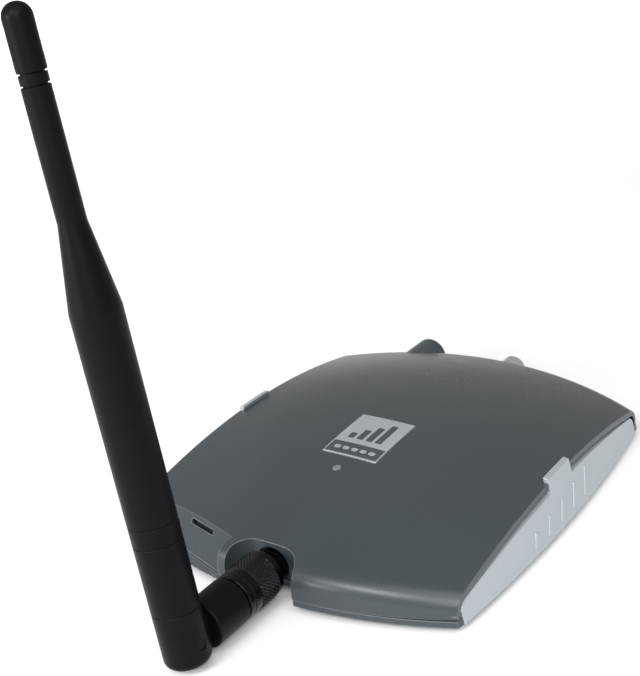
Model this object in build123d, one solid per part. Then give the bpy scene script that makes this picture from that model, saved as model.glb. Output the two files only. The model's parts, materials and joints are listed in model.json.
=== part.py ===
from build123d import *
import os
from math import cos, radians, sin

# Cellular signal booster base unit with a swivel whip antenna.  All sizes in mm.
# Frame: X across the case, Y front (-) to rear (+), Z up, z = 0 under the rubber feet.
# The pieces are drawn about the middle of the case and written out moved by FRAME_Y, so the
# origin is the middle of the whole footprint, whip included.

os.makedirs("parts", exist_ok=True)

# ---------------------------------------------------------------- driving dimensions
FRAME_Y = 14.7              # shift from the middle of the case to the middle of the footprint
FOOT_H = 1.5                # rubber feet stand the case off the table
SEAM_HALF_W = 56.8          # side seam, half width at mid depth
SEAM_SAG = 0.6              # how far the seam comes in at the corners
CORNER_Y = 61.1             # where the side runs into the front and rear arcs
APEX_Y = 74.3               # front and rear arcs at the centre line
DOME_Z = 23.1               # highest point of the lid
DOME_RX = 272.0             # crown radius across the width
DOME_RY = 264.0             # crown radius along the depth
EDGE_R = 6.4                # soft roll at the front and rear of the lid
WALL = 1.8                  # lid wall
SPLIT_Z = 4.0               # lid and tray meet here
SPLIT_GAP = 0.35            # shadow line between them
PANEL_HALF_W = 60.4         # side panel at its foot, half width at mid depth
PANEL_SAG = 3.6             # how far the panel comes in at the corners
PANEL_DRAFT = 12.0          # lean of the panel face, degrees
PANEL_T = 2.0               # panel wall
PANEL_GAP = 1.0             # shadow line under the lid edge
TAB_L = 14.0                # locking tab on the panel, length along the side
TAB_T = 1.7                 # its thickness
TAB_CLEAR = 0.25
TAB_PROUD = 1.2             # the tab stands this far above the lid
FLOOR_T = 2.0               # tray floor

AXIS_Z = 7.7                # height of the antenna connector and its elbow
BAY_HALF_W = 11.6           # bay in the front edge, room round the nut
BAY_BACK = -66.0            # its back wall
BAY_R = 7.5                 # its rear corners
LIP = 2.9                   # wall left standing between the bay and the flat face
FACET_AT = (-21, -65.42, 13.7)            # a point on the flat face, at its upper crease
FACET_ALONG = (0.9626, -0.2697, 0.0259)   # direction of the crease
FACET_OUT = (-0.2463, -0.8313, 0.4984)    # way the flat face looks
SLOT_AT = (-26.4, -64.72, 12.03)          # narrow window in the flat face
SLOT_W = 11.0
SLOT_H = 1.5

HOOD_X = -31.4              # round hood over the power inlet, at the rear
HOOD_R = 6.3
HOOD_Z = 7.2
HOOD_END = 78.4
RF_X = 1.3                  # rear outdoor antenna connector
RF_Z = 5.8
RF_OUT = 74.6               # where its full round starts, just outside the rear wall
RF_END = 82.0

BADGE_W = 19.2              # badge on the lid
BADGE_L = 23.4
BADGE_Y = -13.6
LED_Y = -31.8

PCB_Z = 6.2                 # underside of the board
PCB_T = 1.6

LEAN = 7.2                  # the whip is parked this far off upright, degrees
PIVOT_Y = -104.9            # elbow pin
BARREL_R = 7.0
BARREL_REAR = -85.55
WHIP_R = 6.5
TIP_R = 3.5
TONGUE_T = 5.0
TONGUE_R = 4.2
PIN_R = 1.5
NUT_R = 7.25                # coupling nut over the knurl
COLLAR_R = 6.9
NUT_REAR = -70.0            # coupling nut, rear end
KNURL_REAR = -72.4
KNURL_FRONT = -80.0
NUT_FRONT = -85.2
FORK_TOP = 10.3             # heights above the elbow pin where the whip's mouldings meet
BASE_TOP = 30.0
BAND_TOP = 35.4


# ---------------------------------------------------------------- small helpers
def save(shape, node):
    export_step(Pos(0, FRAME_Y, 0) * shape, "parts/" + node + ".step")


def rod_y(radius, y0, y1, x=0.0, z=0.0):
    """A plain round bar lying along Y."""
    length = abs(y1 - y0)
    bar = Cylinder(radius, length, rotation=(90, 0, 0))
    return Pos(x, (y0 + y1) / 2, z) * bar


def rod_z(radius, z0, z1, x=0.0, y=0.0):
    """A plain round bar standing along Z."""
    return Pos(x, y, (z0 + z1) / 2) * Cylinder(radius, abs(z1 - z0))


def block(x0, x1, y0, y1, z0, z1):
    size = Box(x1 - x0, y1 - y0, z1 - z0)
    return Pos((x0 + x1) / 2, (y0 + y1) / 2, (z0 + z1) / 2) * size


def hex_y(across, y0, y1, x=0.0, z=0.0):
    """A hexagonal bar lying along Y."""
    bar = extrude(RegularPolygon(across / 2, 6, major_radius=False), abs(y1 - y0))
    return Pos(x, max(y0, y1), z) * (Rot(90, 0, 0) * bar)


def plan(half_w, sag, inset):
    """Plan face of the case: bowed sides, bowed front and rear."""
    side_x = half_w - inset
    corner_x = half_w - sag - inset
    corner_y = CORNER_Y - inset
    apex = APEX_Y - inset
    front = ThreePointArc((-corner_x, -corner_y), (0, -apex), (corner_x, -corner_y))
    right = ThreePointArc((corner_x, -corner_y), (side_x, 0), (corner_x, corner_y))
    rear = ThreePointArc((corner_x, corner_y), (0, apex), (-corner_x, corner_y))
    left = ThreePointArc((-corner_x, corner_y), (-side_x, 0), (-corner_x, -corner_y))
    return make_face([front, right, rear, left])


def crown(drop):
    """Everything under the crowned lid surface, lowered by drop."""
    top = DOME_Z - drop
    axis_z = DOME_Z - DOME_RX
    reach = 96.0
    radius = DOME_RY - drop
    sag = radius - (radius**2 - reach**2) ** 0.5
    arc = ThreePointArc((-reach, top - sag), (0, top), (reach, top - sag))
    down = Line((reach, top - sag), (reach, -40))
    base = Line((reach, -40), (-reach, -40))
    up = Line((-reach, -40), (-reach, top - sag))
    profile = Plane.YZ * make_face([arc, down, base, up])
    axis = Axis((0, 0, axis_z), (0, 1, 0))
    return revolve(profile.rotate(axis, -19), axis, 38)


def pillow(inset, drop, edge_r, floor):
    """The lid volume: plan extruded, crowned on top, rolled at front and rear."""
    body = Pos(0, 0, -20) * extrude(plan(SEAM_HALF_W, SEAM_SAG, inset), 60)
    body = body & crown(drop)
    rims = []
    for edge in body.edges():
        mid = edge @ 0.5
        if abs(mid.X) < 5 and abs(mid.Y) > 60 and mid.Z > 5:
            rims.append(edge)
    return fillet(rims, edge_r) & block(-80, 80, -90, 90, floor, 40)


def panel_sides(inset):
    """Tapered prism whose two sides are the side panel faces."""
    half = PANEL_HALF_W - inset
    reach = 96.0
    sag = PANEL_SAG * (reach / CORNER_Y) ** 2
    right = ThreePointArc((half - sag, -reach), (half, 0), (half - sag, reach))
    left = ThreePointArc((sag - half, reach), (-half, 0), (sag - half, -reach))
    rear = Line((half - sag, reach), (sag - half, reach))
    front = Line((sag - half, -reach), (half - sag, -reach))
    face = make_face([right, rear, left, front])
    return Pos(0, 0, FOOT_H) * extrude(face, 24, taper=PANEL_DRAFT)


def ends_only(inset, z0, z1):
    """Prism with the bowed front and rear, wide open at the sides."""
    apex = APEX_Y - inset
    rise = APEX_Y - CORNER_Y
    half = SEAM_HALF_W - SEAM_SAG
    reach = 75.0
    edge_y = apex - rise * (reach / half) ** 2 * 0.985
    front = ThreePointArc((-reach, -edge_y), (0, -apex), (reach, -edge_y))
    rear = ThreePointArc((reach, edge_y), (0, apex), (-reach, edge_y))
    right = Line((reach, -edge_y), (reach, edge_y))
    left = Line((-reach, edge_y), (-reach, -edge_y))
    return Pos(0, 0, z0) * extrude(make_face([front, right, rear, left]), z1 - z0)


def cavity(gap):
    """Room inside the lid, shrunk by gap; open at the sides, closed by the panels."""
    room = ends_only(WALL + gap, -20, 40) & crown(WALL + gap)
    rims = []
    for edge in room.edges():
        mid = edge @ 0.5
        if abs(mid.X) < 5 and abs(mid.Y) > 60 and mid.Z > 5:
            rims.append(edge)
    return fillet(rims, EDGE_R - WALL - gap)


def bay(extra):
    """The bay in the front edge, grown by extra; rounded rear corners."""
    half = BAY_HALF_W + extra
    room = block(-half, half, -95, BAY_BACK + extra, -5, 40)
    rear = room.edges().filter_by(Axis.Z).sort_by(Axis.Y)[-2:]
    return fillet(rear, BAY_R + extra)


def facet_front(behind):
    """Space in front of the flat face, its plane pushed back into the case by behind."""
    face = Plane(origin=FACET_AT, x_dir=FACET_ALONG, z_dir=FACET_OUT)
    slab = Box(120, 60, 30, align=(Align.CENTER, Align.CENTER, Align.MIN))
    front = face * (Pos(0, 0, -behind) * slab)
    front = front & block(-80, 0, -95, -45, -5, 40)
    return front - bay(LIP - behind)


def slot_box(grow, depth, back):
    """Narrow window in the flat face, just under its upper crease."""
    face = Plane(origin=SLOT_AT, x_dir=FACET_ALONG, z_dir=FACET_OUT)
    bar = Box(SLOT_W + grow, SLOT_H + grow, depth)
    return face * (Pos(0, 0, -back) * bar)


def screw_z(x, y, head_r, head_z, head_t, shank_r, tip_z):
    """Pan head screw; head_z is the bearing face, the shank runs to tip_z."""
    up = 1 if tip_z > head_z else -1
    head = rod_z(head_r, head_z, head_z - up * head_t, x, y)
    shank = rod_z(shank_r, head_z, tip_z, x, y)
    recess_top = head_z - up * head_t
    recess = Pos(x, y, recess_top) * Box(head_r * 1.2, 0.7, 1.2)
    cross = Pos(x, y, recess_top) * Box(0.7, head_r * 1.2, 1.2)
    return head + shank - recess - cross


# ---------------------------------------------------------------- case
COVER_SCREWS = [(48.6, 45.5), (-48.6, 45.5), (48.6, -44.0), (-48.6, -44.0)]
BOARD_SCREWS = [(39.0, 56.0), (-39.0, 50.0), (39.0, -47.0), (-39.0, -47.0)]


def make_hood(low, high):
    """Round hood over the power inlet, between two heights."""
    hood = rod_y(HOOD_R, 60, HOOD_END, HOOD_X, HOOD_Z)
    hood = fillet(hood.edges().sort_by(Axis.Y)[-1], 1.2)
    return hood & block(-60, 0, 55, 90, low, high)


def make_top_cover():
    low = SPLIT_Z + SPLIT_GAP
    lid = pillow(0, 0, EDGE_R, low)
    square = extrude(plan(SEAM_HALF_W, SEAM_SAG, 0), 40) & crown(0)
    square = square & block(-80, 0, -90, -55, low, 40)
    square = square - bay(LIP)
    lid = lid + square - facet_front(0)
    lid = lid + make_hood(low, 40)
    room = cavity(0) - facet_front(WALL) - bay(WALL)
    pad = rod_y(8.0, -68, -60.8, 0, AXIS_Z)
    room = room - pad
    lid = lid - room
    lid = lid - rod_y(HOOD_R - WALL, 55, HOOD_END - WALL, HOOD_X, HOOD_Z)
    lid = lid - bay(0)
    lid = lid - rod_y(5.6, -80, -63.4, 0, AXIS_Z)
    lid = lid - rod_y(3.25, -80, -55, 0, AXIS_Z)
    for x, y in COVER_SCREWS:
        post = rod_z(3.0, 6.2, 30, x, y) & crown(0.9)
        lid = lid + post
        lid = lid - rod_z(1.25, 5, 10.6, x, y)
    reach = TAB_L / 2 + TAB_CLEAR
    lid = lid - block(SEAM_HALF_W - 1.3, 70, -reach, reach, 0, 40)
    lid = lid - block(-70, 1.3 - SEAM_HALF_W, -reach, reach, 0, 40)
    across = BADGE_W / 2 + 0.15
    along = BADGE_L / 2 + 0.15
    seat = block(-across, across, BADGE_Y - along, BADGE_Y + along, 15, 40) - crown(0.45)
    lid = lid - seat
    lid = lid - rod_z(1.3, 10, 40, 0, LED_Y)
    lid = lid - slot_box(0, 8, 0)
    lid = lid - rod_y(4.4, 60, 90, HOOD_X, HOOD_Z)
    lid = lid - rod_y(4.9, 60, 90, RF_X, RF_Z)
    return lid


def make_bottom_cover():
    floor = ends_only(0.3, FOOT_H, SPLIT_Z) & panel_sides(PANEL_T + 0.3)
    tips = ends_only(0.3, FOOT_H, SPLIT_Z) & panel_sides(0.05)
    tips = tips - block(-80, 80, -59.1, 59.1, -5, 40)
    tray = floor + tips
    low_edges = tray.faces().sort_by(Axis.Z)[0].edges()
    tray = chamfer(low_edges, 0.7)
    hollow = ends_only(WALL + 2.2, FOOT_H + FLOOR_T, 40)
    hollow = hollow & extrude(plan(52.8, 3.4, 0), 40)
    tray = tray - hollow
    ring = extrude(plan(54.6, 3.4, 0), 40) - hollow
    ring = ring & cavity(0.3) & block(-80, 80, -90, 90, FOOT_H + 0.5, 40)
    ends = block(-51.0, 51.0, -90, 90, 6.0, 40)
    ring = ring - ends - facet_front(WALL + 0.3)
    tray = tray + ring
    tray = tray - bay(0)
    upper = block(-80, 80, -95, 90, SPLIT_Z, 40)
    tray = tray - (bay(WALL + 0.3) & upper)
    tray = tray - (rod_y(8.3, -70, -60.5, 0, AXIS_Z) & upper)
    tray = tray - (rod_y(HOOD_R + 0.3, 60, 90, HOOD_X, HOOD_Z) & upper)
    tray = tray + (make_hood(-5, SPLIT_Z) - block(-60, 0, 50, 70.5, -5, FOOT_H))
    for x, y in COVER_SCREWS:
        tray = tray + rod_z(3.4, 3.0, 6.0, x, y)
        tray = tray - rod_z(2.75, 0, 3.7, x, y) - rod_z(1.4, 0, 7, x, y)
        tray = tray - rod_z(3.3, 6.02, 40, x, y)
    for x, y in BOARD_SCREWS:
        tray = tray + rod_z(3.0, 3.0, PCB_Z, x, y) - rod_z(1.1, 4.0, 8, x, y)
    tray = tray - rod_y(4.9, 71.0, 90, RF_X, RF_Z)
    tray = tray - (block(RF_X - 5.3, RF_X + 5.3, 63, 71.2, FOOT_H + FLOOR_T, 40))
    tray = tray - rod_y(HOOD_R - WALL, 64.5, HOOD_END - WALL, HOOD_X, HOOD_Z)
    tray = tray - (block(HOOD_X - 4.8, HOOD_X + 4.8, 54, 69, FOOT_H + FLOOR_T, 40))
    tray = tray - rod_y(4.4, 68.5, 90, HOOD_X, HOOD_Z)
    return tray - facet_front(0)


def make_side_panel():
    """Right hand panel; the left one is its mirror image."""
    skin = panel_sides(0) - panel_sides(PANEL_T)
    zone = cavity(PANEL_GAP) & block(40, 80, -59.0, 59.0, 1.9, 40)
    panel = skin & zone
    tab = panel_sides(0) - panel_sides(TAB_T)
    tab = tab & crown(-TAB_PROUD) & block(40, 80, -TAB_L / 2, TAB_L / 2, 11.0, 40)
    panel = panel + tab
    for y in (-38, 0, 38):
        panel = panel + (block(55.2, 58.4, y - 4, y + 4, 5.0, 8.0) & panel_sides(0.8))
    proud = panel_sides(-0.3) - panel_sides(0.6)
    for step in range(5):
        y = -20 + step * 8.5
        height = 4.6 + 1.0 * step
        rib = Pos(58, y, 3.6 + height / 2) * (Rot(-24, 0, 0) * Box(8, 1.7, height))
        panel = panel + (rib & proud)
    return panel


def make_badge():
    across = BADGE_W / 2
    along = BADGE_L / 2
    plate = block(-across, across, BADGE_Y - along, BADGE_Y + along, 15, 40)
    return (plate & crown(-0.25)) - crown(0.45)


def make_light_pipe():
    stem = rod_z(1.25, 10.2, 40, 0, LED_Y) & crown(-0.2)
    return stem + rod_z(2.0, 10.2, 11.4, 0, LED_Y)


def make_window():
    return slot_box(-0.1, 1.2, 1.7)


def make_foot(x, y):
    pad = rod_z(5.0, 0, FOOT_H, x, y)
    return fillet(pad.edges().sort_by(Axis.Z)[0], 0.5)


FEET = {
    "foot_front_right": (38, -48),
    "foot_front_left": (-38, -48),
    "foot_rear_right": (38, 48),
    "foot_rear_left": (-38, 48),
}


# ---------------------------------------------------------------- electronics
def make_board():
    board = block(-43.5, 43.5, -52.5, 63.5, PCB_Z, PCB_Z + PCB_T)
    for x, y in BOARD_SCREWS:
        board = board - rod_z(1.3, 0, 20, x, y)
    board = board - block(-36, -22, 55, 80, 0, 20)
    board = board - block(-50, -37, 58, 80, 0, 20)
    board = board - block(37, 50, 60.5, 80, 0, 20)
    return board


def make_can(x, y, length, depth, height):
    z = PCB_Z + PCB_T
    can = block(x - length / 2, x + length / 2, y - depth / 2, y + depth / 2, z, z + height)
    can = fillet(can.edges().filter_by(Axis.Z), 1.0)
    inner = block(
        x - length / 2 + 0.6, x + length / 2 - 0.6, y - depth / 2 + 0.6, y + depth / 2 - 0.6, z, z + height - 0.6
    )
    can = can - inner
    for side in (-0.25, 0.25):
        can = can - rod_z(0.9, z, z + 20, x + side * length, y)
    return can


def make_heat_spreader():
    z = PCB_Z + PCB_T
    plate = block(4, 36, -44, -16, z, z + 2.2)
    for step in range(6):
        y = -42.5 + step * 5.0
        plate = plate + block(4, 36, y, y + 1.6, z + 2.0, z + 6.6)
    return plate


def make_filter(x, y):
    z = PCB_Z + PCB_T
    body = block(x - 8, x + 8, y - 3.5, y + 3.5, z, z + 5.5)
    for step in range(4):
        body = body - rod_z(0.8, z + 1, z + 20, x - 5.4 + step * 3.6, y)
    return body


def make_capacitor(x, y):
    z = PCB_Z + PCB_T
    can = rod_z(4.0, z, z + 6.4, x, y)
    return fillet(can.edges().sort_by(Axis.Z)[-1], 0.6)


def make_dc_jack():
    """Barrel power inlet, mid mounted in the board cut-out, its nose inside the hood."""
    x, z = HOOD_X, HOOD_Z
    body = block(x - 4.4, x + 4.4, 55.5, 65.5, z - 3.5, z + 3.9)
    body = body + rod_y(4.2, 65.0, HOOD_END - 0.3, x, z)
    body = body - rod_y(2.8, 67.0, 90, x, z)
    return body


def make_dc_pin():
    return rod_y(1.05, 67.0, HOOD_END - 1.2, HOOD_X, HOOD_Z)


# ---------------------------------------------------------------- rear outdoor port
def make_rf_body():
    """Board mounted coax port: square foot inside, plain round barrel through the rear wall."""
    x, z = RF_X, RF_Z
    foot = block(x - 5.0, x + 5.0, 64.0, 70.8, 3.7, z + 4.8)
    body = rod_y(4.76, RF_OUT, RF_END, x, z)
    body = chamfer(body.edges().sort_by(Axis.Y)[-1], 0.5)
    body = body + rod_y(4.6, 71.2, RF_OUT, x, z)
    neck = rod_y(4.6, 70.0, 71.3, x, z) & block(-20, 20, 60, 80, 3.7, 30)
    body = foot + neck + body
    body = body - rod_y(3.2, 72.0, 90, x, z)
    body = body - rod_y(0.7, 60, 90, x, z)
    return body


def make_rf_insulator():
    body = rod_y(3.2, 72.0, RF_END - 1.4, RF_X, RF_Z)
    return body - rod_y(0.7, 60, 90, RF_X, RF_Z)


def make_rf_contact():
    tube = rod_y(0.7, 64.2, RF_END - 2.0, RF_X, RF_Z)
    return tube - rod_y(0.45, 70.0, 90, RF_X, RF_Z)


# ---------------------------------------------------------------- antenna socket
def make_jack():
    body = rod_y(3.15, -77.5, -59.0, 0, AXIS_Z)
    body = body + hex_y(8.0, -60.8, -58.8, 0, AXIS_Z)
    body = body + rod_y(2.3, -59.0, -55.5, 0, AXIS_Z)
    body = body - rod_y(2.3, -80, -72.0, 0, AXIS_Z)
    body = body - rod_y(1.6, -75, -50.0, 0, AXIS_Z)
    return body


def make_jack_insulator():
    body = rod_y(1.6, -72.0, -55.5, 0, AXIS_Z)
    return body - rod_y(0.65, -80, -50, 0, AXIS_Z)


def make_jack_contact():
    body = rod_y(0.65, -72.0, -55.6, 0, AXIS_Z)
    return body - rod_y(0.5, -80, -68.5, 0, AXIS_Z)


def make_jack_washer():
    ring = rod_y(4.1, -64.0, -63.4, 0, AXIS_Z)
    return ring - rod_y(3.2, -70, -60, 0, AXIS_Z)


def make_jack_nut():
    nut = hex_y(8.0, -66.2, -64.0, 0, AXIS_Z)
    return nut - rod_y(3.17, -70, -60, 0, AXIS_Z)


def make_jumper():
    """Short coax from the socket tail down to the board."""
    path = Spline(
        (0, -55.1, AXIS_Z), (0.3, -52.6, AXIS_Z + 1.0), (2.5, -48.5, AXIS_Z + 0.8),
        tangents=((0, 0.8, 0.6), (0.8, 0.3, -0.1)),
    )
    cable = sweep(Plane(origin=path @ 0, z_dir=path % 0) * Circle(0.6), path)
    return cable


# ---------------------------------------------------------------- plug and coupling nut
def make_plug_body():
    body = rod_y(2.2, -80.0, -72.2, 0, AXIS_Z)
    body = body + rod_y(3.1, -80.2, -79.0, 0, AXIS_Z)
    body = body + rod_y(2.5, -90.2, -80.0, 0, AXIS_Z)
    body = body + rod_y(3.6, -90.2, -88.6, 0, AXIS_Z)
    body = body - rod_y(0.5, -92, -70, 0, AXIS_Z)
    return body


def make_plug_pin():
    return rod_y(0.48, -90.0, -69.5, 0, AXIS_Z)


def make_coupling_nut():
    """Smooth rear band, knurl, then a smooth collar; bored for the socket and the plug."""
    nut = rod_y(COLLAR_R, NUT_FRONT, NUT_REAR, 0, AXIS_Z)
    nut = chamfer(nut.edges().group_by(Axis.Y)[-1], 0.6)
    knurl = rod_y(NUT_R, KNURL_FRONT, KNURL_REAR, 0, AXIS_Z)
    knurl = chamfer(knurl.edges().filter_by(GeomType.CIRCLE), 0.3)
    groove = None
    for turn in range(30):
        cut = Pos(0, (KNURL_FRONT + KNURL_REAR) / 2, NUT_R + 0.05) * (Rot(0, 45, 0) * Box(0.62, 6.4, 0.62))
        cut = Rot(0, turn * 12, 0) * cut
        groove = cut if groove is None else groove + cut
    knurl = knurl - Pos(0, 0, AXIS_Z) * groove
    nut = nut + knurl
    nut = nut - rod_y(3.25, -80.5, -60, 0, AXIS_Z)
    nut = nut - rod_y(2.58, -95, -60, 0, AXIS_Z)
    return nut


# ---------------------------------------------------------------- elbow and whip
def lean(shape):
    """Turn elbow parts about the connector axis to the parked lean."""
    return Pos(0, 0, AXIS_Z) * (Rot(0, -LEAN, 0) * (Pos(0, 0, -AXIS_Z) * shape))


def make_barrel():
    """Swivel barrel with the tongue that enters the fork of the whip."""
    body = rod_y(BARREL_R, -98.0, BARREL_REAR, 0, AXIS_Z)
    body = chamfer(body.edges().filter_by(GeomType.CIRCLE), 0.4)
    body = body - rod_y(2.58, -88.3, -80, 0, AXIS_Z)
    body = body - rod_y(3.75, -90.5, -88.3, 0, AXIS_Z)
    half = TONGUE_T / 2
    tongue = block(-half, half, PIVOT_Y, -97.5, AXIS_Z - TONGUE_R, AXIS_Z + TONGUE_R)
    eye = Pos(0, PIVOT_Y, AXIS_Z) * Cylinder(TONGUE_R, TONGUE_T, rotation=(0, 90, 0))
    hole = Pos(0, PIVOT_Y, AXIS_Z) * Cylinder(PIN_R + 0.05, 20, rotation=(0, 90, 0))
    return body + tongue + eye - hole


def make_hinge_pin():
    return Pos(0, PIVOT_Y, AXIS_Z) * Cylinder(PIN_R, 12.4, rotation=(0, 90, 0))


def whip_bar(radius, s0, s1):
    """Round bar on the whip axis between two heights above the elbow pin."""
    return rod_z(radius, AXIS_Z + s0, AXIS_Z + s1, 0, PIVOT_Y)


def whip_block(x0, x1, y0, y1, s0, s1):
    return block(x0, x1, PIVOT_Y + y0, PIVOT_Y + y1, AXIS_Z + s0, AXIS_Z + s1)


def make_fork():
    """Lower end of the whip: two cheeks with a pocket the tongue swings through."""
    body = whip_bar(WHIP_R, -6.1, FORK_TOP)
    body = fillet(body.edges().sort_by(Axis.Z)[0], 2.2)
    body = chamfer(body.edges().sort_by(Axis.Z)[-1], 0.2)
    wheel = Pos(0, PIVOT_Y, AXIS_Z) * Cylinder(WHIP_R + 0.02, 20, rotation=(0, 90, 0))
    corner = whip_block(-10, 10, 0, 10, -10, 0)
    body = body - (corner - wheel)
    wide = TONGUE_T / 2 + 0.25
    room = TONGUE_R + 0.3
    pocket = Pos(0, PIVOT_Y, AXIS_Z) * Cylinder(room, 2 * wide, rotation=(0, 90, 0))
    pocket = pocket + whip_block(-wide, wide, 0, 8, -8, 5.6)
    pocket = pocket + whip_block(-wide, wide, -room, 1, -8, 0)
    body = body - pocket
    body = body - (Pos(0, PIVOT_Y, AXIS_Z) * Cylinder(PIN_R, 20, rotation=(0, 90, 0)))
    return body


def whip_ring(radius, bore, s0, s1):
    """Moulded sleeve with tiny lead-in chamfers that show as parting lines."""
    body = whip_bar(radius, s0, s1)
    body = chamfer(body.edges().filter_by(GeomType.CIRCLE), 0.2)
    return body - whip_bar(bore, s0 - 1, s1 + 1)


def make_sleeve():
    """Long sleeve: thick below, tapered to the slim upper part."""
    low, start, end, top = BAND_TOP, 91.6, 112.9, 144.45
    outer = [(WHIP_R - 0.2, low), (WHIP_R, low + 0.2), (WHIP_R, start)]
    outer = outer + [(TIP_R, end), (TIP_R, top - 0.2), (TIP_R - 0.2, top)]
    inner = [(2.9, top), (2.9, top - 3), (1.9, top - 3)]
    inner = inner + [(1.9, end - 1), (4.7, start - 2), (4.7, low)]
    profile = make_face(Polyline(*[(r, 0, s) for r, s in outer + inner], close=True))
    body = revolve(profile, Axis.Z, 360)
    return Pos(0, PIVOT_Y, AXIS_Z) * body


def make_tip_ring():
    body = whip_bar(TIP_R - 0.08, 144.95, 147.15)
    body = body + whip_bar(2.88, 142.0, 150.0)
    return body - whip_bar(1.1, 140, 151)


def make_tip_cap():
    body = whip_bar(TIP_R + 0.1, 147.65, 163.0)
    body = fillet(body.edges().sort_by(Axis.Z)[-1], TIP_R)
    body = chamfer(body.edges().sort_by(Axis.Z)[0], 0.2)
    return body - whip_bar(2.9, 147, 150.4)


def make_radiator_rod():
    return whip_bar(0.8, 12.0, 150.2)


def make_radiator_tube():
    tube = whip_bar(3.6, 36.0, 86.0)
    return tube - whip_bar(3.1, 30, 90)


# ---------------------------------------------------------------- write every piece
save(make_top_cover(), "top_cover")
save(make_bottom_cover(), "bottom_cover")
right_panel = make_side_panel()
save(right_panel, "side_panel_right")
save(mirror(right_panel, Plane.YZ) - facet_front(WALL + 0.3), "side_panel_left")
save(make_badge(), "badge")
save(make_light_pipe(), "light_pipe")
save(make_window(), "status_window")
for node, spot in FEET.items():
    save(make_foot(*spot), node)
for index, spot in enumerate(COVER_SCREWS, 1):
    save(screw_z(spot[0], spot[1], 2.6, 3.7, 1.6, 1.25, 10.4), f"cover_screw_{index}")

save(make_board(), "circuit_board")
for index, spot in enumerate(BOARD_SCREWS, 1):
    save(screw_z(spot[0], spot[1], 2.3, PCB_Z + PCB_T, 1.4, 1.1, 4.2), f"board_screw_{index}")
save(make_can(-20, -12, 36, 44, 5.0), "shield_can_uplink")
save(make_can(18, 14, 34, 36, 5.0), "shield_can_downlink")
save(make_heat_spreader(), "heat_spreader")
save(make_filter(-20, 22), "filter_uplink")
save(make_filter(18, 44), "filter_downlink")
save(make_capacitor(-20, 44), "capacitor_1")
save(make_capacitor(-9, 44), "capacitor_2")
save(rod_z(1.5, PCB_Z + PCB_T, 10.0, 0, LED_Y), "status_led")
save(make_dc_jack(), "dc_jack")
save(make_dc_pin(), "dc_pin")

save(make_rf_body(), "rear_port_body")
save(make_rf_insulator(), "rear_port_insulator")
save(make_rf_contact(), "rear_port_contact")

save(make_jack(), "antenna_socket")
save(make_jack_insulator(), "socket_insulator")
save(make_jack_contact(), "socket_contact")
save(make_jack_washer(), "socket_washer")
save(make_jack_nut(), "socket_nut")
save(make_jumper(), "socket_jumper")

save(make_plug_body(), "plug_body")
save(make_plug_pin(), "plug_pin")
save(make_coupling_nut(), "coupling_nut")
save(lean(make_barrel()), "swivel_barrel")
save(lean(make_hinge_pin()), "hinge_pin")
save(lean(make_fork()), "whip_fork")
save(lean(whip_ring(WHIP_R, 1.4, FORK_TOP, BASE_TOP)), "whip_base")
save(lean(whip_ring(WHIP_R, 1.4, BASE_TOP, BAND_TOP)), "whip_band")
save(lean(make_sleeve()), "whip_sleeve")
save(lean(make_tip_ring()), "tip_ring")
save(lean(make_tip_cap()), "tip_cap")
save(lean(make_radiator_rod()), "radiator_rod")
save(lean(make_radiator_tube()), "radiator_tube")
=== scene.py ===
import json
from math import cos, pi, radians, sin, sqrt

import bmesh
import bpy
from mathutils import Matrix, Vector


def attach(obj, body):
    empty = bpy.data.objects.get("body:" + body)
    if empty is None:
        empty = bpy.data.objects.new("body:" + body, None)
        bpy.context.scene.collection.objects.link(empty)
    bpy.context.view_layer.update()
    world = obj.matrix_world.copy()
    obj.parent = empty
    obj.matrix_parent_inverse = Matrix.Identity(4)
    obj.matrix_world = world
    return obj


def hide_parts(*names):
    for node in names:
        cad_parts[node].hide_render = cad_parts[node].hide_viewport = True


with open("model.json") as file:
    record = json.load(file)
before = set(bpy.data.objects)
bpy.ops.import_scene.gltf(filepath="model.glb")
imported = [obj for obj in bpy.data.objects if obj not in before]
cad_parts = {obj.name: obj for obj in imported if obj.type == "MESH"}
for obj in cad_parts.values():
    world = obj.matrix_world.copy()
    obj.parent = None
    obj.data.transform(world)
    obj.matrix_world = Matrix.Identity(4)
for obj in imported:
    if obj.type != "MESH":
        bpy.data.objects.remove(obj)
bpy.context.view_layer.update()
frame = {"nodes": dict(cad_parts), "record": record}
NODES = frame["nodes"]
MM = 0.001
MICRON = 1e-6

# ------------------------------------------------------------------ sizes shared with the part
FRAME_Y = 14.7              # the case is drawn about its own middle, then moved by this, mm
DOME_Z = 23.1               # highest point of the lid
DOME_RX = 272.0             # crown radius across the case
DOME_RY = 264.0             # crown radius along the case
BADGE_W = 19.2
BADGE_L = 23.4
BADGE_Y = -13.6
AXIS_Z = 7.7                # antenna connector
NUT_R = 7.25                # over the knurl
COLLAR_R = 6.9
NUT_REAR = -70.0
KNURL_REAR = -72.4
KNURL_FRONT = -80.0
NUT_FRONT = -85.2


# ------------------------------------------------------------------ small tools
def tone(hex_code, alpha=1.0):
    """An sRGB hex colour as the linear RGBA that a shader wants."""
    parts = [int(hex_code[i:i + 2], 16) / 255 for i in (0, 2, 4)]
    linear = [c / 12.92 if c <= 0.04045 else ((c + 0.055) / 1.055) ** 2.4 for c in parts]
    return (*linear, alpha)


def add(tree, kind, feeds=(), **settings):
    """Add one node; each feed is a socket and either a value or a (node, output) pair."""
    made = tree.nodes.new(kind)
    for name, value in settings.items():
        setattr(made, name, value)
    for socket, source in feeds:
        if isinstance(source, tuple) and isinstance(source[0], bpy.types.Node):
            tree.links.new(source[0].outputs[source[1]], made.inputs[socket])
        else:
            made.inputs[socket].default_value = source
    return made


def per_mm(size):
    """Texture scale that gives a feature of this many millimetres in metre coordinates."""
    return 1000.0 / size


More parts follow.
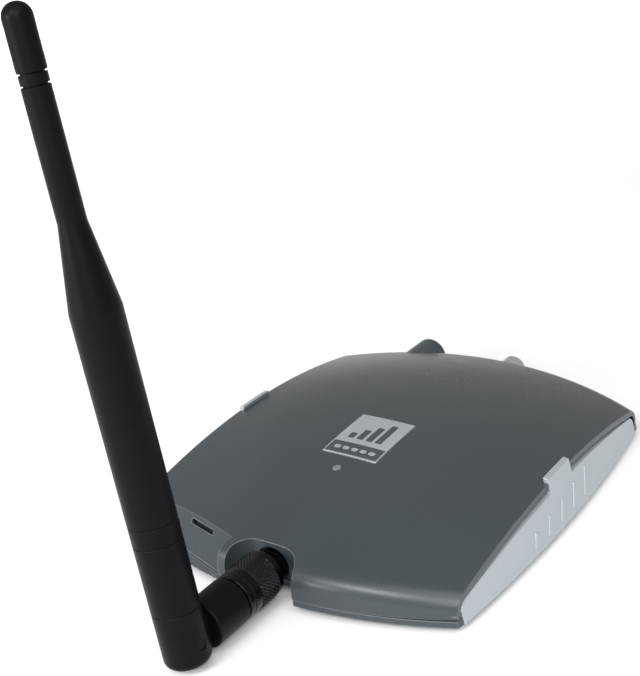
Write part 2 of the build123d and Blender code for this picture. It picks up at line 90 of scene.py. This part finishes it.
def new_material(name):
    made = bpy.data.materials.new(name)
    made.use_nodes = True
    made.node_tree.nodes.clear()
    return made, made.node_tree


# How far a rounded edge's normal turns from the flat one before its painted highlight tone starts and is
# full.
EDGE_STARTS = 0.995
EDGE_FULL = 0.86


def finish(name, light, dark, drift_mm, grain_mm, grain_um, gloss, gloss_spread=0.04, edge_mm=0.35,
           edge_highlight_tone=None, edge_highlight_share=0.35, metallic=0.0, ior=None, coat=0.0, coat_rough=0.2,
           streak=None, fleck=None):
    """A solid finish: slow drift between two tones, a fine grain, and rounded edges with a painted
    highlight, a lighter tone.

    gloss is a roughness; streak stretches the grain along an axis; fleck is a tone, its size in mm
    and its share.
    """
    made, tree = new_material(name)
    place = add(tree, "ShaderNodeTexCoord")
    where = (place, "Object")
    if streak:
        stretch = add(tree, "ShaderNodeMapping", [("Vector", where), ("Scale", streak)])
        where = (stretch, "Vector")
    drift = add(tree, "ShaderNodeTexNoise", [
        ("Vector", (place, "Object")), ("Scale", per_mm(drift_mm)), ("Detail", 3.0), ("Roughness", 0.55)])
    grain = add(tree, "ShaderNodeTexNoise", [
        ("Vector", where), ("Scale", per_mm(grain_mm)), ("Detail", 4.0), ("Roughness", 0.6)])
    body = add(tree, "ShaderNodeMix", [("Factor", (drift, "Fac")), ("A", tone(dark)), ("B", tone(light))],
               data_type="RGBA")
    colour = (body, 2)
    round_edge = add(tree, "ShaderNodeBevel", [("Radius", edge_mm * MM)], samples=6)
    if fleck:
        fleck_tone, fleck_mm, fleck_share = fleck
        cells = add(tree, "ShaderNodeTexVoronoi", [
            ("Vector", (place, "Object")), ("Scale", per_mm(fleck_mm))])
        pick = add(tree, "ShaderNodeMapRange", [
            ("Value", (cells, "Distance")), ("From Min", 0.0), ("From Max", 0.45), ("To Min", 1.0),
            ("To Max", 0.0)])
        share = add(tree, "ShaderNodeMath", [(0, (pick, 0)), (1, fleck_share)], operation="MULTIPLY")
        mixed = add(tree, "ShaderNodeMix", [
            ("Factor", (share, 0)), ("A", colour), ("B", tone(fleck_tone))], data_type="RGBA")
        colour = (mixed, 2)
    # Painted highlight: rounded edges are mixed towards a lighter tone, standing in for the light they
    # catch.
    if edge_highlight_tone:
        flat = add(tree, "ShaderNodeNewGeometry")
        agree = add(tree, "ShaderNodeVectorMath", [(0, (round_edge, 0)), (1, (flat, "Normal"))],
                    operation="DOT_PRODUCT")
        edge_highlight_mix = add(tree, "ShaderNodeMapRange", [
            ("Value", (agree, "Value")), ("From Min", EDGE_STARTS), ("From Max", EDGE_FULL),
            ("To Min", 0.0), ("To Max", edge_highlight_share)])
        mixed = add(tree, "ShaderNodeMix", [
            ("Factor", (edge_highlight_mix, 0)), ("A", colour), ("B", tone(edge_highlight_tone))], data_type="RGBA")
        colour = (mixed, 2)
    rough = add(tree, "ShaderNodeMapRange", [
        ("Value", (grain, "Fac")), ("From Min", 0.25), ("From Max", 0.75),
        ("To Min", gloss - gloss_spread), ("To Max", gloss + gloss_spread)])
    bump = add(tree, "ShaderNodeBump", [
        ("Height", (grain, "Fac")), ("Strength", 1.0), ("Distance", grain_um * MICRON),
        ("Normal", (round_edge, 0))])
    shader = add(tree, "ShaderNodeBsdfPrincipled", [
        ("Base Color", colour), ("Roughness", (rough, 0)), ("Metallic", metallic), ("Normal", (bump, 0))])
    if ior:
        shader.inputs["IOR"].default_value = ior
    if coat:
        shader.inputs["Coat Weight"].default_value = coat
        shader.inputs["Coat Roughness"].default_value = coat_rough
    add(tree, "ShaderNodeOutputMaterial", [("Surface", (shader, 0))])
    return made


# ------------------------------------------------------------------ finishes
# In every finish below that has an edge tone, that lighter tone is a painted highlight on its rounded
# edges.
# ABS moulded in charcoal against a finely spark-eroded tool: satin, a soft sheen on the rolled
# edges, and edges painted a little lighter as a highlight.
charcoal_abs = finish("charcoal_abs_fine_moulded", "3a4145", "353c40", 60, 0.5, 8, 0.30, 0.05,
                      0.5, "8d949a", 0.6, ior=1.47)
# ABS sprayed with silver satin paint: pale blue-grey with fine bright flakes under a soft gloss.
silver_paint = finish("silver_satin_paint_on_abs", "acb4b9", "a3abb0", 45, 0.3, 6, 0.36, 0.05,
                      0.3, "dfe5e8", 0.5, metallic=0.3, fleck=("d3dadd", 0.35, 0.3))
# Thermoplastic elastomer over the whip, moulded matt: near black with a broad, weak sheen. Its IOR
# is set under the real 1.5, because the white studio's reflection would turn it grey.
whip_tpe = finish("black_tpe_matt_moulded", "0e0f10", "090a0b", 35, 0.45, 10, 0.40, 0.06,
                  0.25, "26282a", 0.4, ior=1.18)
# Brass nut plated in black nickel and knurled: nearly black; its glint on the knurl is partly its gloss
# and partly a painted highlight, a lighter tone on the knurl's edges. It is drawn as a dark gloss without
# metallic and under a metal's IOR, again because of the white studio.
black_nickel = finish("black_nickel_plate_knurled", "060607", "030304", 12, 0.25, 3, 0.20, 0.05,
                      0.08, "56565a", 0.6, ior=1.28)
# Anodised aluminium foil badge, brushed across: mid grey and silky under its clear anodic film.
badge_foil = finish("anodised_aluminium_brushed_badge", "a6acaf", "9ca2a5", 20, 0.18, 5, 0.38, 0.06,
                    0.12, "d0d5d7", 0.6, metallic=0.25, streak=(0.04, 1.0, 1.0))
# Screen-printed ink on the badge: flat dark grey with a faint tooth, near the case's own grey.
badge_ink = finish("screen_printed_ink_grey", "3f464a", "393f43", 9, 0.2, 4, 0.45, 0.05, 0.05)
# Polycarbonate light guide, polished: an unlit grey under a clear gloss.
clear_guide = finish("polycarbonate_polished_light_guide", "747c80", "666e72", 3, 0.4, 2, 0.12, 0.03,
                     0.15, "ffffff", 0.4, ior=1.58, coat=0.6, coat_rough=0.05)
# Acrylic window, smoked: almost black and glossy.
smoked_window = finish("acrylic_smoked_window", "0f1113", "0a0b0d", 5, 0.5, 2, 0.10, 0.03, 0.1, ior=1.49)
# Silicone rubber feet, moulded: matt black.
rubber_foot = finish("silicone_rubber_moulded_foot", "222224", "1a1a1c", 6, 0.5, 25, 0.75, 0.08, 0.4,
                     "3a3a3c", 0.4)
# Steel screws with bright zinc plate.
zinc_screw = finish("steel_bright_zinc_plated", "b4b7b8", "9fa3a5", 3, 0.3, 6, 0.32, 0.08, 0.12,
                    "dfe1e2", 0.6, metallic=1.0)
# Nickel plate over turned brass: bright, faint turning rings.
nickel_brass = finish("brass_turned_nickel_plated", "e6e6e4", "d8d8d6", 5, 0.12, 5, 0.20, 0.05, 0.15,
                      "f2f2ee", 0.6, metallic=1.0, streak=(1.0, 12.0, 1.0))
# Gold flashed brass contacts.
gold_contact = finish("brass_gold_flashed_contact", "d9bd6c", "c6a858", 2, 0.2, 4, 0.22, 0.05, 0.1,
                      "f1dc9a", 0.5, metallic=1.0)
# PTFE insulator, turned: waxy white.
ptfe = finish("ptfe_turned_insulator", "e9e8e3", "dddcd6", 4, 0.3, 6, 0.42, 0.05, 0.15)
# FR4 board with green solder mask: glossy green over a faint glass weave.
solder_mask = finish("fr4_green_solder_mask", "1f6b3c", "195a32", 14, 0.6, 10, 0.28, 0.05, 0.15, coat=0.3)
# Tin plated steel shield cans, stamped.
tin_can = finish("steel_stamped_tin_plated", "c4c6c6", "b2b5b5", 10, 0.5, 8, 0.34, 0.08, 0.3,
                 "e4e6e6", 0.5, metallic=1.0)
# Extruded aluminium, plain.
plain_aluminium = finish("aluminium_extruded_plain", "cfd2d4", "bcc0c3", 8, 0.25, 8, 0.36, 0.07, 0.15,
                         "eef0f1", 0.5, metallic=1.0, streak=(0.06, 1.0, 1.0))
# Silvered ceramic filter blocks.
ceramic = finish("ceramic_silvered_filter", "d9d4c6", "c8c2b2", 5, 0.4, 8, 0.40, 0.08, 0.2,
                 "f0ece0", 0.4)
# Glass-filled nylon jack body, moulded black.
nylon = finish("nylon_black_moulded", "1b1c1e", "141517", 5, 0.4, 12, 0.5, 0.06, 0.2, "3c3e40", 0.4)
# Epoxy LED dome, faint green.
led_epoxy = finish("epoxy_led_dome", "bfe0c2", "a8d0ac", 2, 0.4, 2, 0.15, 0.03, 0.2, ior=1.55)

SKIN = {
    "case_charcoal": charcoal_abs, "panel_silver": silver_paint, "badge_metal": badge_foil,
    "clear_lens": clear_guide, "window_black": smoked_window, "foot_rubber": rubber_foot,
    "screw_steel": zinc_screw, "board_green": solder_mask, "shield_steel": tin_can,
    "spreader_aluminium": plain_aluminium, "filter_ceramic": ceramic, "led_body": led_epoxy,
    "jack_black": nylon, "contact_brass": gold_contact, "nickel_plate": nickel_brass,
    "insulator_white": ptfe, "nut_black": black_nickel, "whip_black": whip_tpe,
}
SLOT_OF = {row["node"]: row["material_slot"] for row in frame["record"]["subparts"]}
for node_name, thing in NODES.items():
    skin = SKIN[SLOT_OF[node_name]]
    if not thing.data.materials:
        thing.data.materials.append(skin)
    for index in range(len(thing.data.materials)):
        thing.data.materials[index] = skin


# ------------------------------------------------------------------ badge inlays
def crown_z(x, y):
    """Height of the lid surface at a place given about the middle of the case, mm."""
    axis_z = DOME_Z - DOME_RX
    along = DOME_Z - DOME_RY + sqrt(DOME_RY ** 2 - y ** 2) - axis_z
    return axis_z + sqrt(along ** 2 - x ** 2)


def make_piece(name, bm, skin, body):
    """Turn a bmesh into a flat shaded piece with one material, riding on a body."""
    bmesh.ops.recalc_face_normals(bm, faces=bm.faces)
    mesh = bpy.data.meshes.new(name)
    bm.to_mesh(mesh)
    bm.free()
    piece = bpy.data.objects.new(name, mesh)
    bpy.context.scene.collection.objects.link(piece)
    mesh.materials.append(skin)
    for face in mesh.polygons:
        face.use_smooth = False
    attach(piece, body)
    return piece


PLATE_STEP = 0.6            # grid across a plate, mm


def laid_plate(bm, x0, x1, y0, y1, low, high, corner=0.3):
    """A thin plate that follows the crown, with rounded corners; low and high are above the lid, mm."""
    wide, long = (x1 - x0) / 2, (y1 - y0) / 2
    cx, cy = (x0 + x1) / 2, (y0 + y1) / 2
    corner = min(corner, wide - 0.01, long - 0.01)
    across = max(4, 2 * round(wide / PLATE_STEP))
    steps = max(2, round(long))
    bends = (0, 20, 40, 60, 90)
    rows = [-long + corner * (1 - cos(radians(a))) for a in bends]
    rows += [-long + corner + (2 * (long - corner)) * k / steps for k in range(1, steps)]
    rows += [long - corner * (1 - cos(radians(a))) for a in reversed(bends)]

    def place(u, v, height):
        x = cx + u
        y = cy + v
        return bm.verts.new(Vector((x, y + FRAME_Y, crown_z(x, y) + height)) * MM)

    top, bottom = [], []
    for v in rows:
        past = max(0.0, abs(v) - (long - corner))
        half = wide - corner + sqrt(max(0.0, corner ** 2 - past ** 2))
        top.append([place(-half + 2 * half * k / across, v, high) for k in range(across + 1)])
        bottom.append([place(-half + 2 * half * k / across, v, low) for k in range(across + 1)])
    for a, b, c, d in zip(top, top[1:], bottom, bottom[1:]):
        for k in range(across):
            bm.faces.new((a[k], a[k + 1], b[k + 1], b[k]))
            bm.faces.new((c[k], d[k], d[k + 1], c[k + 1]))
        bm.faces.new((a[0], b[0], d[0], c[0]))
        bm.faces.new((a[-1], c[-1], d[-1], b[-1]))
    for a, c in ((top[0], bottom[0]), (top[-1], bottom[-1])):
        for k in range(across):
            bm.faces.new((a[k], c[k], c[k + 1], a[k + 1]))


PRINT_LOW = 0.15            # printed parts start inside the plate, which is 0.25 mm proud
PRINT_HIGH = 0.29
OVERPRINT = 0.04            # the dashes lie on the band
SIDE = BADGE_W / 2
FOOT = BADGE_Y - BADGE_L / 2
MARGIN = 0.45               # bare metal left round the band
BAND_LOW, BAND_TOP = 0.5, 6.4               # from the plate's front edge
BAR_COUNT, BAR_W, BAR_STEP = 4, 2.2, 3.3
BARS_LEFT, BARS_LOW, BARS_FIRST = -6.4, 9.0, 12.0
BAR_RISE = 2.7              # each bar is this much longer than the one before
DASH_COUNT, DASH_W, DASH_STEP = 5, 2.3, 3.1
DASHES_LEFT, DASHES_LOW, DASHES_TOP = -7.4, 2.6, 4.2
DASH_CORNER = 0.75

band = bmesh.new()
laid_plate(band, -SIDE + MARGIN, SIDE - MARGIN, FOOT + BAND_LOW, FOOT + BAND_TOP, PRINT_LOW, PRINT_HIGH)
make_piece("badge_dark_band", band, badge_ink, "housing")

bars = bmesh.new()
for k in range(BAR_COUNT):
    left = BARS_LEFT + BAR_STEP * k
    end = FOOT + BARS_FIRST + BAR_RISE * k
    laid_plate(bars, left, left + BAR_W, FOOT + BARS_LOW, end, PRINT_LOW, PRINT_HIGH)
make_piece("badge_signal_bars", bars, badge_ink, "housing")

dashes = bmesh.new()
for k in range(DASH_COUNT):
    left = DASHES_LEFT + DASH_STEP * k
    laid_plate(dashes, left, left + DASH_W, FOOT + DASHES_LOW, FOOT + DASHES_TOP,
               PRINT_LOW, PRINT_HIGH + OVERPRINT, DASH_CORNER)
make_piece("badge_row_of_dashes", dashes, badge_foil, "housing")


# ------------------------------------------------------------------ knurled coupling nut
def turned(bm, rows, around):
    """Skin a closed ring of rows; each row is (y, radius function of the angle), y about the case, mm."""
    rings = []
    for y, radius_at in rows:
        ring = []
        for k in range(around):
            a = 2 * pi * k / around
            r = radius_at(a)
            ring.append(bm.verts.new(Vector((r * sin(a), y + FRAME_Y, AXIS_Z + r * cos(a))) * MM))
        rings.append(ring)
    for a, b in zip(rings, rings[1:] + rings[:1]):
        for k in range(around):
            bm.faces.new((a[k], a[(k + 1) % around], b[(k + 1) % around], b[k]))


KNURLS = 40                 # diamonds round the nut
KNURL_PITCH = 1.3           # along the nut, mm
KNURL_DEPTH = 0.45
SOCKET_BORE = 3.25
PLUG_BORE = 2.58
SHOULDER = -80.5            # where the wide bore stops
KNURL_ROWS = 54             # rows of points along the knurl
KNURL_FADE = 4              # rows over which it runs out at each end
POINT_CUT = 0.84            # the diamonds are cut flat at this share of their height
RUN_OUT = 0.4               # how far its ends drop


def ripple(t):
    """A triangle wave from 0 to 1."""
    t = t % 1.0
    return 2 * t if t < 0.5 else 2 - 2 * t


def plain(radius):
    return lambda a: radius


def diamonds(y, radius):
    """Radius round the knurl at one place along the nut."""
    def radius_at(a):
        turns = KNURLS * a / (2 * pi)
        along = y / KNURL_PITCH
        height = min(ripple(turns + along), ripple(turns - along), POINT_CUT) / POINT_CUT
        return radius - KNURL_DEPTH * (1 - height)
    return radius_at


AROUND = KNURLS * 10        # points round each row
nut_rows = [(NUT_FRONT, plain(PLUG_BORE)), (NUT_FRONT, plain(COLLAR_R - 0.45)),
            (NUT_FRONT + 0.12, plain(COLLAR_R - 0.15)), (NUT_FRONT + 0.4, plain(COLLAR_R)),
            (NUT_FRONT + 2.1, plain(COLLAR_R)), (NUT_FRONT + 2.2, plain(COLLAR_R - 0.25)),
            (NUT_FRONT + 2.5, plain(COLLAR_R - 0.25)), (NUT_FRONT + 2.6, plain(COLLAR_R)),
            (KNURL_FRONT - 0.1, plain(COLLAR_R)), (KNURL_FRONT, plain(COLLAR_R - 0.1))]
for k in range(KNURL_ROWS + 1):
    y = KNURL_FRONT + 0.05 + (KNURL_REAR - KNURL_FRONT - 0.1) * k / KNURL_ROWS
    fade = min(1.0, (k + 1) / KNURL_FADE, (KNURL_ROWS + 1 - k) / KNURL_FADE)
    nut_rows.append((y, diamonds(y, NUT_R - RUN_OUT * (1 - fade))))
nut_rows += [(KNURL_REAR, plain(COLLAR_R - 0.1)), (KNURL_REAR + 0.1, plain(COLLAR_R)),
             (NUT_REAR - 0.6, plain(COLLAR_R)), (NUT_REAR - 0.2, plain(COLLAR_R - 0.2)),
             (NUT_REAR, plain(COLLAR_R - 0.6)), (NUT_REAR, plain(SOCKET_BORE)),
             (SHOULDER, plain(SOCKET_BORE)), (SHOULDER, plain(PLUG_BORE))]
knurled = bmesh.new()
turned(knurled, nut_rows, AROUND)
nut = make_piece("coupling_nut_diamond_knurl", knurled, black_nickel, "nut")
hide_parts("coupling_nut")


# ------------------------------------------------------------------ floor, light and camera
def light(name, place, target, size, power, colour="ffffff"):
    lamp = bpy.data.lights.new(name, "AREA")
    lamp.shape = "RECTANGLE"
    lamp.size, lamp.size_y = size
    lamp.energy = power
    lamp.color = tone(colour)[:3]
    thing = bpy.data.objects.new(name, lamp)
    thing.location = place
    thing.rotation_euler = (Vector(place) - Vector(target)).to_track_quat("Z", "Y").to_euler()
    bpy.context.scene.collection.objects.link(thing)
    return thing


FLOOR_REACH = 6.0           # metres each way
FLOOR_DROP = 0.0002         # just under the feet

floor_mesh = bpy.data.meshes.new("studio_floor")
corners = [(-FLOOR_REACH, -FLOOR_REACH, 0), (FLOOR_REACH, -FLOOR_REACH, 0),
           (FLOOR_REACH, FLOOR_REACH, 0), (-FLOOR_REACH, FLOOR_REACH, 0)]
floor_mesh.from_pydata(corners, [], [(0, 1, 2, 3)])
floor = bpy.data.objects.new("studio_floor", floor_mesh)
bpy.context.scene.collection.objects.link(floor)
floor.location.z = -FLOOR_DROP
# Matt white studio card.
card, tree = new_material("studio_card_matt_white")
card_shader = add(tree, "ShaderNodeBsdfPrincipled", [("Base Color", tone("fbfbfb")), ("Roughness", 0.9)])
add(tree, "ShaderNodeOutputMaterial", [("Surface", (card_shader, 0))])
floor_mesh.materials.append(card)

world = bpy.data.worlds.new("studio")
bpy.context.scene.world = world
world.use_nodes = True
world.node_tree.nodes.clear()
sky = add(world.node_tree, "ShaderNodeBackground", [("Color", tone("ffffff")), ("Strength", 0.43)])
add(world.node_tree, "ShaderNodeOutputWorld", [("Surface", (sky, 0))])

light("key_softbox", (0.00, -1.00, 0.90), (0, 0, 0.0), (0.45, 0.35), 7)
light("fill_softbox", (0.9, -1.1, 0.9), (0, 0, 0.0), (0.8, 0.8), 11)
light("top_softbox", (0.6, -0.5, 1.5), (0, 0, 0.0), (1.2, 1.2), 9)
light("front_strip", (-0.46, -0.88, 0.30), (0, 0, 0.01), (0.5, 0.16), 6)
wash = light("background_wash", (-0.75, 0.95, 0.90), (-0.75, 1.0, 0.0), (0.8, 0.8), 7)
wash.data.spread = radians(80)

AZIMUTH, ELEVATION, ROLL = 36.858, 23.031, -5.651
SENSOR_MM = 36.0
LENS_MM = 69.5475
PLACE_MM = (193.26, -291.61 + FRAME_Y, 201.26)
az, el, roll = radians(AZIMUTH), radians(ELEVATION), radians(ROLL)
back = Vector((sin(az) * cos(el), -cos(az) * cos(el), sin(el)))
level = Vector((cos(az), sin(az), 0))
up0 = back.cross(level)
right = level * cos(roll) + up0 * sin(roll)
up = up0 * cos(roll) - level * sin(roll)
lens = bpy.data.cameras.new("camera")
lens.sensor_fit = "HORIZONTAL"
lens.sensor_width = SENSOR_MM
lens.lens = LENS_MM
lens.clip_start = 0.01
camera = bpy.data.objects.new("camera", lens)
facing = Matrix((right, up, back)).transposed()
camera.matrix_world = Matrix.Translation(Vector(PLACE_MM) * MM) @ facing.to_4x4()
bpy.context.scene.collection.objects.link(camera)
bpy.context.scene.camera = camera
bpy.context.scene.view_settings.view_transform = "Standard"
bpy.context.scene.view_settings.look = "None"
